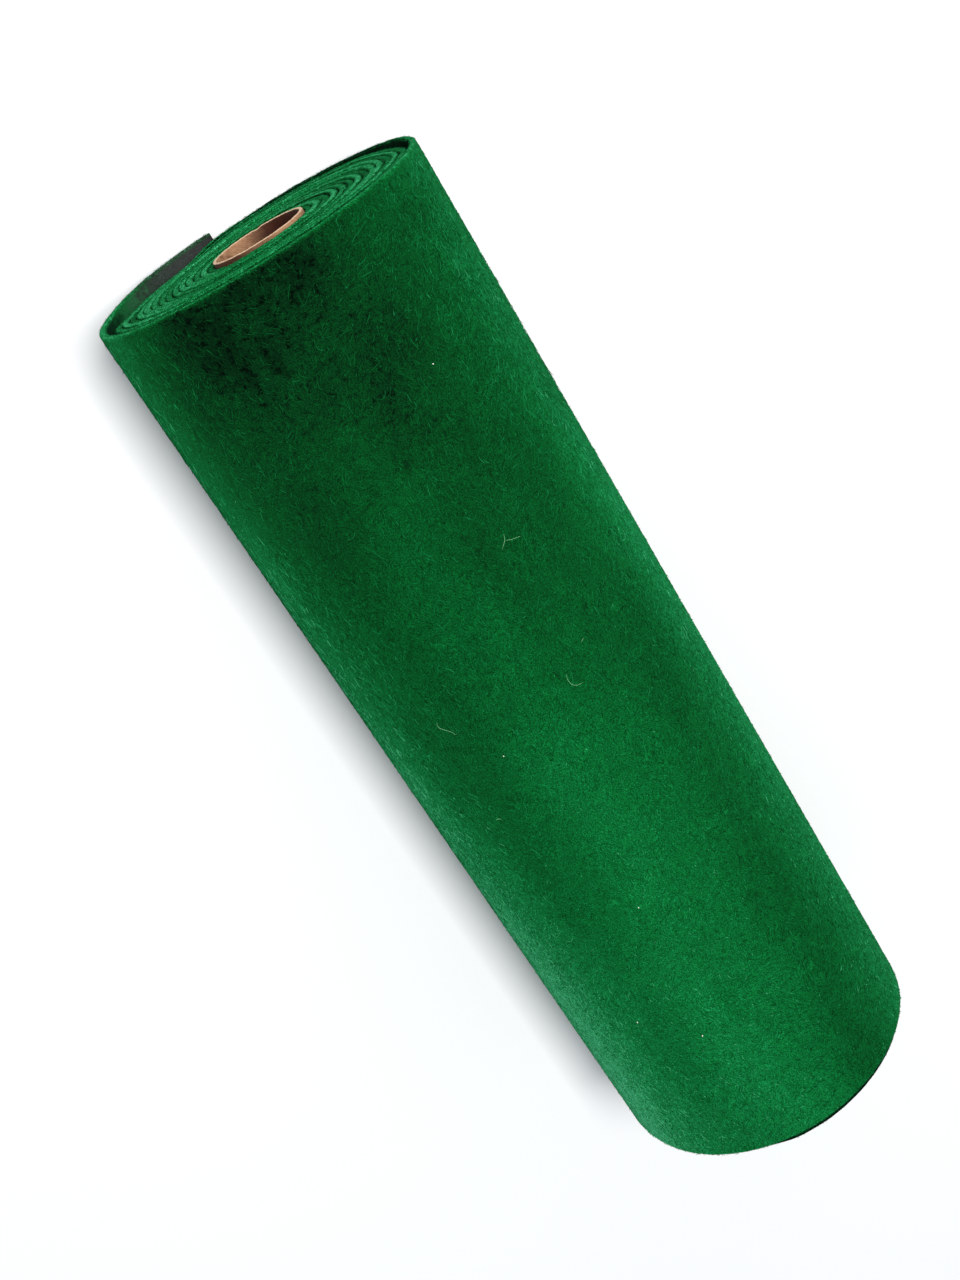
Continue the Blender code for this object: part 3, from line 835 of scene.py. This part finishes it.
FIBRE_GREENS = [
    fibre_material("felt_fibre_darkest", srgb(4, 46, 18)),
    fibre_material("felt_fibre_dark", srgb(5, 70, 28)),
    fibre_material("felt_fibre_deep", srgb(7, 92, 40)),
    fibre_material("felt_fibre_mid", srgb(15, 115, 60)),
    fibre_material("felt_fibre_light", srgb(30, 138, 79)),
    fibre_material("felt_fibre_pale", srgb(67, 170, 116)),
]
FIBRE_STEPS = [0.32, 0.47, 0.61, 0.75, 0.90]     # the tones at which one class of fibre turns to the next


def surface_point(deg, x, h):
    """A point h above the outermost turn's outside."""
    r = radius_at(deg) + h
    y, z = section(deg, r)
    return np.stack([x * np.ones_like(y), y, z], axis=-1)


def felt_fibres(name, seed, count, low, high, x0, x1):
    """Fibres that lie on the outside of the roll between two angles and two places along it."""
    rng = np.random.RandomState(seed)
    tries = int(count * 1.6)
    deg = rng.uniform(low, high, tries)
    x = rng.uniform(x0, x1, tries)
    tone = tone_of(deg, x)
    keep = rng.uniform(0, 1, tries) < np.clip(0.28 + 1.0 * tone, 0.2, 1.0)
    deg, x, tone = deg[keep][:count], x[keep][:count], tone[keep][:count]
    n = len(deg)
    # direction in the surface: 0 is along the roll
    s = np.radians(deg) * R
    swirl = 1.15 * cloud(91, s, x, 0.034, 0.05) + 0.5 * cloud(92, s, x, 0.011, 0.014)
    top = np.exp(-(((deg - 180.0) / 48.0) ** 2))
    direction = swirl * (0.35 + 0.75 * top) + rng.normal(0, 0.50, n)
    length = np.clip(rng.lognormal(math.log(0.0020), 0.40, n), 0.0009, 0.0055)
    bend = rng.normal(0, 0.35, n)
    long = rng.uniform(0, 1, n) < 0.04 * (1 - smooth(0.15, 0.55, (x + HALF) / WIDTH))
    length = np.where(long, length * 2.1 + 0.001, length)
    bend = np.where(long, bend * 1.4, bend)
    k = 3
    step = length / (k - 1)
    heading = direction.copy()
    ps, px = np.zeros((n, k)), np.zeros((n, k))
    ps[:, 0], px[:, 0] = s, x
    for i in range(1, k):
        ps[:, i] = ps[:, i - 1] + np.sin(heading) * step
        px[:, i] = px[:, i - 1] + np.cos(heading) * step
        heading = heading + bend
    lift = rng.uniform(0.00002, 0.00016, n)
    fly = rng.uniform(0, 1, n) < 0.05
    tip = np.where(fly, rng.uniform(0.0003, 0.0010, n), rng.uniform(0.0, 0.00014, n))
    prof = np.linspace(0, 1, k)[None, :]
    h = lift[:, None] * np.sin(np.pi * (0.15 + 0.7 * prof)) + tip[:, None] * prof**2
    around = np.degrees(ps / R)
    px = np.clip(px, near_edge(around) + 0.0004, far_edge(around) - 0.0004)
    pts = surface_point(np.degrees(ps / R), px, h)
    along = (x + HALF) / WIDTH
    spread = np.interp(along, [0.0, 0.2, 0.45, 0.7, 1.0], [0.140, 0.115, 0.130, 0.150, 0.150])
    level = tone + rng.normal(0.075, 1.0, n) * spread + 0.03 + 0.05 * long
    which = np.digitize(level, FIBRE_STEPS)
    width = rng.uniform(0.00015, 0.00031, n)
    return spindles(name, pts, width, FIBRE_GREENS, which)


fibre_pieces = [
    felt_fibres("felt_fibres_top_near", 101, 30000, 118, 246, -HALF + 0.0004, 0.0),
    felt_fibres("felt_fibres_top_far", 102, 30000, 118, 246, 0.0, HALF - 0.0004),
    felt_fibres("felt_fibres_sides", 103, 20000, 26, 118, -HALF + 0.0004, HALF - 0.0004),
    felt_fibres("felt_fibres_back", 104, 16000, 246, 334, -HALF + 0.0004, HALF - 0.0004),
]


def felt_strands(name, seed, count, low, high):
    """Longer curling strands, most of them near the -X end and on the -Y side."""
    rng = np.random.RandomState(seed)
    tries = count * 5
    deg = rng.uniform(low, high, tries)
    x = rng.uniform(-HALF + 0.001, HALF - 0.001, tries)
    along = (x + HALF) / WIDTH
    left = smooth(32, 52, 180.0 - deg)
    want = 0.10 + 0.75 * (1 - smooth(0.12, 0.62, along)) + 0.30 * left * (1 - 0.5 * smooth(0.5, 1.0, along))
    keep = rng.uniform(0, 1, tries) < np.clip(want, 0, 1)
    deg, x, left = deg[keep][:count], x[keep][:count], left[keep][:count]
    n = len(deg)
    tone = tone_of(deg, x)
    s = np.radians(deg) * R
    swirl = 1.15 * cloud(91, s, x, 0.034, 0.05) + 0.6 * cloud(93, s, x, 0.009, 0.012)
    top = np.exp(-(((deg - 185.0) / 42.0) ** 2))
    heading = swirl * (0.30 + 0.95 * top) + rng.normal(0, 0.34, n)
    length = np.clip(rng.lognormal(math.log(0.0042), 0.34, n), 0.0022, 0.0085)
    curl = rng.normal(0, 0.24, n)
    k = 6
    step = length / (k - 1)
    ps, px = np.zeros((n, k)), np.zeros((n, k))
    ps[:, 0], px[:, 0] = s, x
    for i in range(1, k):
        ps[:, i] = ps[:, i - 1] + np.sin(heading) * step
        px[:, i] = px[:, i - 1] + np.cos(heading) * step
        heading = heading + curl + rng.normal(0, 0.12, n)
    prof = np.linspace(0, 1, k)[None, :]
    h = 0.00010 + rng.uniform(0.0, 0.00016, n)[:, None] * np.sin(np.pi * prof)
    around = np.degrees(ps / R)
    px = np.clip(px, near_edge(around) + 0.0004, far_edge(around) - 0.0004)
    level = tone + 0.215 + 0.025 * left + rng.normal(0.0, 0.085, n)
    which = np.digitize(level, FIBRE_STEPS)
    return spindles(name, surface_point(around, px, h), rng.uniform(0.00011, 0.00020, n), FIBRE_GREENS, which)


fibre_pieces.append(felt_strands("felt_strands", 121, 5000, 100, 248))


def edge_fibres(name, seed, count, near):
    """Short fibres that stand out of the cut edges at one end of the roll."""
    rng = np.random.RandomState(seed)
    # more of them on the outer turns, which show most
    s = rng.uniform(0, 1, count) ** 1.15 * (FELT_LENGTH - 0.01) + 0.002
    th = np.interp(s, LENGTHS, STATIONS)
    t = rng.uniform(0.04, 0.96, count)
    lip = rng.uniform(0, 1, count) < 0.35
    t = np.where(lip, np.where(rng.uniform(0, 1, count) < 0.5, 0.03, 0.97), t)
    r = radius_at(th) - T * t
    edge_x = near_edge(th) if near else far_edge(th)
    out = -1.0 if near else 1.0
    recess = 0.0008 * np.abs(2 * t - 1) ** 3.0
    x = edge_x - out * recess
    length = rng.uniform(0.0006, 0.0022, count)
    turn = rng.normal(0, 1, count)
    k = 3
    f = np.linspace(0, 1, k)[None, :]
    dth = np.degrees(length / r * np.cos(turn) * np.sign(rng.uniform(-1, 1, count)))
    dr = length * 0.35 * np.sin(turn)
    dx = rng.uniform(0.00005, 0.0005, count)
    TH = th[:, None] + dth[:, None] * (f - 0.3)
    RR = r[:, None] + dr[:, None] * f
    XX = x[:, None] + out * (dx[:, None] * np.sin(np.pi * (0.1 + 0.75 * f)) - 0.00005)
    a = np.radians(TH)
    pts = np.stack([XX, -np.sin(a) * RR, np.maximum(AXIS_Z - np.cos(a) * RR, 0.0002)], axis=2)
    # the fibres on the loose end's near cut are darker, to go with its painted shade
    which = np.digitize(rng.normal(0.66, 0.12, count) - np.where((th < 60) & near, 0.30, 0.0), FIBRE_STEPS)
    width = rng.uniform(0.00009, 0.00018, count)
    return spindles(name, pts, width, FIBRE_GREENS, which)


fibre_pieces.append(edge_fibres("felt_fibres_near_edge", 111, 13000, True))
fibre_pieces.append(edge_fibres("felt_fibres_far_edge", 112, 8000, False))


# ---------------------------------------------------------------- stray hairs and specks that lie on the felt
TAN = fibre_material("stray_hair", srgb(140, 208, 150))
PALE = fibre_material("pale_speck", srgb(246, 250, 234))


def stray(name, spots, width, mat):
    """Curly hairs: each spot is a list of picture points that the hair passes, laid on the roll."""
    paths, widths = [], []
    for pts in spots:
        p = np.array([on_roll(px, py) for px, py in pts])
        q = np.linspace(0, 1, len(p))
        f = np.linspace(0, 1, 14)
        # a smooth line through the points
        deg = np.interp(f, q, p[:, 0])
        x = np.interp(f, q, p[:, 1])
        ker = np.array([0.25, 0.5, 0.25])
        for _ in range(2):
            deg[1:-1] = np.convolve(deg, ker, "valid")
            x[1:-1] = np.convolve(x, ker, "valid")
        h = 0.00022 + 0.00022 * np.sin(np.pi * f)
        paths.append(surface_point(deg, x, h))
        widths.append(width)
    ob = spindles(name, np.array(paths), np.array(widths), [mat], np.zeros(len(paths), int), sides=5)
    return ob


fibre_pieces.append(stray("stray_hairs", [
    [(437, 722), (438, 727), (444, 729), (451, 731), (457, 735)],
    [(566, 673), (567, 680), (572, 685), (578, 685), (583, 682)],
    [(504.4, 541), (508, 539.6), (511, 539.5), (516, 537.5), (521, 535.6)],
    [(503.3, 533), (503.9, 537), (504.4, 540.6), (503, 545), (502, 550)],
    [(581, 642), (582, 639), (584, 638)],
    [(496, 820), (499, 818), (502, 819)],
], 0.00010, TAN))
fibre_pieces.append(stray("pale_specks", [
    [(503.2, 755.2), (503.9, 755.6), (504.3, 756.2)],
    [(637.2, 1021.2), (637.7, 1021.8), (638.0, 1022.6)],
    [(702.8, 1034.6), (702.3, 1035.4), (702.0, 1036.0)],
    [(638.2, 906.6), (638.6, 907.2), (638.8, 907.8)],
    [(432.0, 363.6), (432.6, 364.0), (433.4, 364.1)],
], 0.00036, PALE))


# ---------------------------------------------------------------- the cardboard tube
def make_tube():
    steps = 160
    half = (CORE_FAR_X - CORE_NEAR_X) / 2.0
    middle = (CORE_FAR_X + CORE_NEAR_X) / 2.0
    wall = CORE_R - BORE_R
    # closed profile (x, radius), from the near rim's middle along the outside, and back along the bore
    prof = [
        (-half, BORE_R + 0.50 * wall), (-half, BORE_R + 0.74 * wall), (-half + 0.00008, BORE_R + 0.90 * wall),
        (-half + 0.00030, CORE_R - 0.00002), (-half + 0.0010, CORE_R), (-half + 0.0032, CORE_R), (-half + 0.03, CORE_R),
        (0.0, CORE_R), (half - 0.03, CORE_R), (half - 0.0032, CORE_R), (half - 0.0010, CORE_R),
        (half - 0.00030, CORE_R - 0.00002), (half - 0.00008, BORE_R + 0.90 * wall), (half, BORE_R + 0.74 * wall),
        (half, BORE_R + 0.50 * wall), (half, BORE_R + 0.26 * wall), (half - 0.00008, BORE_R + 0.10 * wall),
        (half - 0.00030, BORE_R + 0.00002), (half - 0.0010, BORE_R),
    ]
    bore_x = list(np.linspace(half - 0.0030, -half + 0.0030, 26))
    prof += [(bx, BORE_R) for bx in bore_x]
    prof += [(-half + 0.0010, BORE_R), (-half + 0.00030, BORE_R + 0.00002), (-half + 0.00008, BORE_R + 0.10 * wall), (-half, BORE_R + 0.26 * wall)]
    n = len(prof)
    px = np.array([p[0] for p in prof])
    pr = np.array([p[1] for p in prof])
    deg = np.arange(steps) * 360.0 / steps
    X = np.repeat(px[None, :], steps, 0)
    RR = np.repeat(pr[None, :], steps, 0)
    D = np.repeat(deg[:, None], n, 1)
    # uneven, rubbed rim: each end's last 2 mm moves in and out a little, and it has a nick
    for sign in (-1, 1):
        w = smooth(0.0026, 0.0, half - sign * X)
        wobble = 0.00011 * wander(131 + sign, D % 360.0, 9.0) + 0.00007 * wander(133 + sign, D % 360.0, 3.0)
        X = X - sign * w * (np.abs(wobble) + 0.00002)
        nick_at = 356.0 if sign < 0 else 205.0
        nick = 0.0004 * np.exp(-(((D - nick_at + 180) % 360 - 180) / 3.2) ** 2)
        X = X - sign * w * nick
    # the tube is a touch out of round
    RR = RR + 0.00006 * wander(137, D, 60.0) * np.sin(np.radians(D) / 2) ** 2
    # inner ply's spiral seam: a low step that winds along the bore
    pitch = 0.075
    phase = ((X + half) / pitch * 360.0 * 1.0 + D - 62.0) % 360.0
    bore = (pr[None, :] < BORE_R + 0.0002)
    RR = RR + np.where(bore, 0.00010 * smooth(12, 0, np.minimum(phase, 360 - phase)), 0.0)
    a = np.radians(D)
    co = np.stack([X + middle, -np.sin(a) * RR, AXIS_Z - np.cos(a) * RR], axis=2).reshape(-1, 3)
    idx = np.arange(steps * n).reshape(steps, n)
    a1 = np.roll(idx, -1, axis=0)
    quads = np.stack([idx, np.roll(idx, -1, axis=1), np.roll(a1, -1, axis=1), a1], axis=2).reshape(-1, 4)
    ob = new_object("cardboard_tube", co, quads.tolist())
    mesh = ob.data
    f = mesh.polygons[5]
    if f.normal.dot(Vector((0.0, f.center.y, f.center.z - AXIS_Z))) < 0:
        mesh.flip_normals()
    # map: one unit is 10 cm round the tube and along it
    uvs = mesh.uv_layers.new(name="card")
    loops_v = np.zeros(len(mesh.loops), int)
    mesh.loops.foreach_get("vertex_index", loops_v)
    vi, vj = loops_v // n, loops_v % n
    starts = np.zeros(len(mesh.polygons), int)
    mesh.polygons.foreach_get("loop_start", starts)
    face_of_loop = np.repeat(np.arange(len(mesh.polygons)), 4)
    fi, fj = face_of_loop // n, face_of_loop % n
    run = np.concatenate([[0], np.cumsum(np.hypot(np.diff(px), np.diff(pr)))])
    uu = np.where((vi == 0) & (fi == steps - 1), steps, vi) * (360.0 / steps) / 360.0 * (2 * math.pi * 0.0198)
    vv = np.where((vj == 0) & (fj == n - 1), run[-1] + 0.0004, run[vj])
    data = np.stack([uu * 10.0, vv * 10.0], axis=1)
    uvs.data.foreach_set("uv", data.ravel())
    on_rim = (pr > BORE_R + 0.08 * wall) & (pr < CORE_R - 0.08 * wall)
    rim = np.where(on_rim[None, :], 1.0, 0.0) * np.ones_like(X)
    inner = np.where(bore, 1.0, 0.0) * np.ones_like(X)
    float_attribute(mesh, "rim", rim.ravel())
    float_attribute(mesh, "bore", inner.ravel())
    # painted shade: one side of the bore's mouth is painted a deep brown, as it lies in shade, and so is the outside
    # where it meets the felt
    turned_d = (D + 180.0) % 360.0 - 180.0
    in_bore = np.interp(turned_d, [-180, -120, -88, -65, -45, -26, -13, 0, 13, 28, 90, 130, 180], [0.5, 0.7, 0.84, 0.94, 1.0, 1.0, 0.95, 0.74, 0.30, 0.06, 0.0, 0.2, 0.5])
    outside = np.interp(D, [0, 60, 150, 180, 200, 220, 300, 360], [0.7, 0.95, 0.90, 0.62, 0.25, 0.05, 0.3, 0.7])
    deep = np.where(bore, in_bore, outside * (1 - rim)) * np.ones_like(X)
    float_attribute(mesh, "deep", deep.ravel())
    float_attribute(mesh, "seam", (smooth(7, 0, np.minimum(phase, 360 - phase))).ravel())
    return ob


def card_material():
    mat, nt = node_tree("cardboard")
    out = add(nt, "ShaderNodeOutputMaterial")
    bsdf = add(nt, "ShaderNodeBsdfPrincipled")
    link(nt, bsdf.outputs["BSDF"], out.inputs["Surface"])
    bsdf.inputs["Roughness"].default_value = 0.82
    bsdf.inputs["Specular IOR Level"].default_value = 0.25
    uv = add(nt, "ShaderNodeUVMap", uv_map="card").outputs["UV"]
    rim = add(nt, "ShaderNodeAttribute", attribute_name="rim").outputs["Fac"]
    seam = add(nt, "ShaderNodeAttribute", attribute_name="seam").outputs["Fac"]
    # pulp: fibres along the paper strip, which is wound at a slant
    node = add(nt, "ShaderNodeVectorRotate", rotation_type="Z_AXIS")
    node.inputs["Angle"].default_value = 0.95
    link(nt, uv, node.inputs["Vector"])
    pulp = noise(nt, mapping(nt, node.outputs["Vector"], (160.0, 26.0, 1.0)), 1.0, detail=3.0, rough=0.6, dims="2D").outputs["Fac"]
    cloudy = noise(nt, uv, 9.0, detail=3.0, rough=0.6, dims="2D").outputs["Fac"]
    flecks = noise(nt, uv, 120.0, detail=2.0, rough=0.7, dims="2D").outputs["Fac"]
    level = math_node(nt, "ADD", math_node(nt, "MULTIPLY", pulp, 0.45), math_node(nt, "MULTIPLY", cloudy, 0.55))
    brown = ramp(nt, level, [
        (0.30, srgb(124, 86, 60)), (0.46, srgb(152, 112, 82)), (0.58, srgb(168, 128, 97)), (0.74, srgb(186, 150, 118)),
    ], "LINEAR")
    dark = add(nt, "ShaderNodeMix", data_type="RGBA", blend_type="MULTIPLY")
    link(nt, ramp(nt, flecks, [(0.60, (0, 0, 0)), (0.72, (0.55, 0.55, 0.55))]), dark.inputs[0])
    link(nt, brown, dark.inputs[6])
    dark.inputs[7].default_value = (0.42, 0.30, 0.22, 1.0)
    seamed = add(nt, "ShaderNodeMix", data_type="RGBA", blend_type="MULTIPLY")
    link(nt, math_node(nt, "MULTIPLY", seam, 0.75), seamed.inputs[0])
    link(nt, dark.outputs[2], seamed.inputs[6])
    seamed.inputs[7].default_value = (0.34, 0.22, 0.15, 1.0)
    # painted shade: "deep" darkens the card to a deep red-brown on the bore's shaded side and next to the felt
    deep = add(nt, "ShaderNodeAttribute", attribute_name="deep").outputs["Fac"]
    shaded_brown = add(nt, "ShaderNodeMix", data_type="RGBA", blend_type="MULTIPLY")
    link(nt, deep, shaded_brown.inputs[0])
    link(nt, seamed.outputs[2], shaded_brown.inputs[6])
    shaded_brown.inputs[7].default_value = (0.10, 0.032, 0.008, 1.0)
    # the cut rim: paler, as cut card is, and partly a painted highlight, with the plies as fine lines
    rimmed = add(nt, "ShaderNodeMix", data_type="RGBA")
    link(nt, math_node(nt, "MULTIPLY", rim, 0.88), rimmed.inputs[0])
    link(nt, shaded_brown.outputs[2], rimmed.inputs[6])
    link(nt, ramp(nt, flecks, [(0.35, srgb(178, 142, 110)), (0.65, srgb(226, 196, 164))], "LINEAR"), rimmed.inputs[7])
    link(nt, rimmed.outputs[2], bsdf.inputs["Base Color"])
    bump = add(nt, "ShaderNodeBump")
    bump.inputs["Strength"].default_value = 0.5
    bump.inputs["Distance"].default_value = 0.00025
    link(nt, math_node(nt, "ADD", pulp, math_node(nt, "MULTIPLY", flecks, 0.6)), bump.inputs["Height"])
    link(nt, bump.outputs["Normal"], bsdf.inputs["Normal"])
    return mat


tube = make_tube()
tube.data.materials.append(card_material())
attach(tube, "root")
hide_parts("core_tube")


# ---------------------------------------------------------------- stage: a plain white table, a soft key light and a white room
def make_stage():
    mesh = bpy.data.meshes.new("table_top")
    e, z = 30.0, -0.0002
    mesh.from_pydata([(-e, -e, z), (e, -e, z), (e, e, z), (-e, e, z)], [], [(0, 1, 2, 3)])
    ob = bpy.data.objects.new("table_top", mesh)
    bpy.context.scene.collection.objects.link(ob)
    mat, nt = node_tree("white_table")
    out = add(nt, "ShaderNodeOutputMaterial")
    bsdf = add(nt, "ShaderNodeBsdfPrincipled")
    link(nt, bsdf.outputs["BSDF"], out.inputs["Surface"])
    bsdf.inputs["Base Color"].default_value = (0.665, 0.665, 0.67, 1.0)
    bsdf.inputs["Roughness"].default_value = 0.9
    bsdf.inputs["Specular IOR Level"].default_value = 0.1
    mesh.materials.append(mat)

    def area(name, place, target, size, power, color):
        data = bpy.data.lights.new(name, "AREA")
        data.shape = "RECTANGLE"
        data.size, data.size_y = size
        data.energy = power
        data.color = color
        light = bpy.data.objects.new(name, data)
        light.location = place
        light.rotation_mode = "QUATERNION"
        light.rotation_quaternion = (Vector(target) - Vector(place)).to_track_quat("-Z", "Y")
        bpy.context.scene.collection.objects.link(light)

    area("key", (-0.80, 0.50, 3.00), (-0.80, 0.50, 0.0), (1.10, 0.80), 126.5, (1.0, 0.99, 0.975))
    area("near_fill", (-1.3, 0.8, 0.8), (-0.15, 0.0, 0.07), (0.8, 0.6), 2.0, (1.0, 1.0, 1.0))

    world = bpy.data.worlds.new("white_room")
    bpy.context.scene.world = world
    world.use_nodes = True
    bg = world.node_tree.nodes["Background"]
    bg.inputs["Color"].default_value = (0.86, 0.935, 1.0, 1.0)
    bg.inputs["Strength"].default_value = 0.55
    bpy.context.scene.view_settings.view_transform = "Standard"
    bpy.context.scene.view_settings.look = "None"
    bpy.context.scene.view_settings.exposure = 0.0


make_stage()
